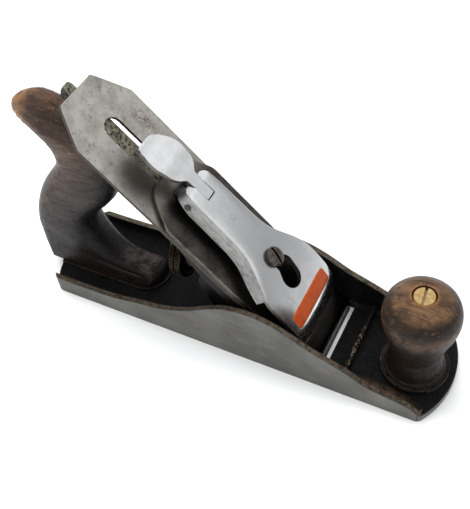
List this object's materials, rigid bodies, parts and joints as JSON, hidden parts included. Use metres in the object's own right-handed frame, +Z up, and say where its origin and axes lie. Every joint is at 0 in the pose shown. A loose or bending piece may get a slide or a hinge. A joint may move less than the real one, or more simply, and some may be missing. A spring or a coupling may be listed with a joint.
{
  "type": "bench smoothing plane",
  "caption": "Metal-bodied bench smoothing plane with a wooden tote and knob, and a cutter with its cap iron held on an adjustable frog by a cam-locked lever cap.",
  "frame": {"origin": "middle of the flat underside of the sole", "axes": "+X from the heel to the toe, +Y to the left cheek, +Z up off the sole"},
  "size_m": [0.2606, 0.0604, 0.1424],
  "materials": {
    "body_iron": "ground sides and sole, black japanned inside",
    "frog_iron": "black japanned, bed machined",
    "screw_steel": "plain turned",
    "dark_steel": "dark, worn",
    "blued_steel": "spring temper blue-grey",
    "y_lever_iron": "as cast",
    "brass": "turned, tarnished",
    "wheel_brass": "knurled, dark with worn edges",
    "lateral_steel": "pitted",
    "cutter_steel": "ground, stained",
    "cap_iron_steel": "polished, darkened",
    "lever_cap_nickel": "nickel plated, worn edges",
    "cam_lever_nickel": "nickel plated",
    "tote_wood": "dark stained, lacquered",
    "knob_wood": "dark stained, lacquered"
  },
  "bodies": {
    "base": {"body": "body_iron", "frog_bolts": "screw_steel", "frog_washers": "screw_steel", "tote": "tote_wood", "tote_bolt": "screw_steel", "tote_nut": "brass", "knob": "knob_wood", "knob_bolt": "screw_steel", "knob_nut": "brass"},
    "frog_unit": {"frog": "frog_iron", "frog_clip": "blued_steel", "frog_clip_screw": "screw_steel", "y_lever_pin": "screw_steel", "adjust_stud": "screw_steel", "lateral_pin": "screw_steel", "lever_cap_screw": "dark_steel"},
    "shift_screw": {"frog_shift_screw": "brass"},
    "y_lever": {"y_lever": "y_lever_iron"},
    "depth_wheel": {"depth_wheel": "wheel_brass"},
    "lateral": {"lateral_lever": "lateral_steel", "lateral_disc": "screw_steel"},
    "cap_unit": {"cap_iron": "cap_iron_steel", "cap_iron_screw": "screw_steel"},
    "cutter": {"cutter": "cutter_steel"},
    "lever_cap_unit": {"lever_cap": "lever_cap_nickel", "lever_cap_spring": "blued_steel", "spring_rivet": "screw_steel", "cam_pin": "screw_steel"},
    "cam_lever": {"cam_lever": "cam_lever_nickel"}
  },
  "joints": [
    {"name": "frog_slide", "type": "slide", "parent": "base", "child": "frog_unit", "axis": [1, 0, 0], "range_m": [-0.0015, 0.001]},
    {"name": "frog_screw_turn", "type": "hinge", "parent": "frog_unit", "child": "shift_screw", "pos_m": [-0.008, 0, 0.01], "axis": [1, 0, 0], "range_deg": [-430, 290]},
    {"name": "iron_depth", "type": "slide", "parent": "frog_unit", "child": "cap_unit", "axis": [-0.7071, 0, 0.7071], "range_m": [-0.001, 0.0024]},
    {"name": "y_lever_pivot", "type": "hinge", "parent": "frog_unit", "child": "y_lever", "pos_m": [-0.024, 0, 0.06], "axis": [0, 1, 0], "range_deg": [-9.6, 4.1]},
    {"name": "wheel_travel", "type": "slide", "parent": "frog_unit", "child": "depth_wheel", "axis": [1, 0, 0], "range_m": [-0.0013, 0.003]},
    {"name": "cutter_skew", "type": "hinge", "parent": "cap_unit", "child": "cutter", "pos_m": [0.0483, 0, 0.0071], "axis": [0.7071, 0, 0.7071], "range_deg": [-1, 1]},
    {"name": "lateral_swing", "type": "hinge", "parent": "frog_unit", "child": "lateral", "pos_m": [-0.0256, 0, 0.081], "axis": [0.7071, 0, 0.7071], "range_deg": [-8.2, 8.2]},
    {"name": "lever_cap_slide", "type": "slide", "parent": "frog_unit", "child": "lever_cap_unit", "axis": [-0.7071, 0, 0.7071], "range_m": [0, 0.0145]},
    {"name": "cam_lever_turn", "type": "hinge", "parent": "lever_cap_unit", "child": "cam_lever", "pos_m": [-0.02061, 0, 0.09157], "axis": [0, 1, 0], "range_deg": [0, 85]}
  ],
  "couplings": [
    {"joint": "frog_screw_turn", "follows": "frog_slide", "rad_per_m": 4947.4},
    {"joint": "y_lever_pivot", "follows": "iron_depth", "rad_per_m": -67.93},
    {"joint": "wheel_travel", "follows": "iron_depth", "ratio": 1.223},
    {"joint": "lateral_swing", "follows": "cutter_skew", "ratio": -8.087}
  ]
}
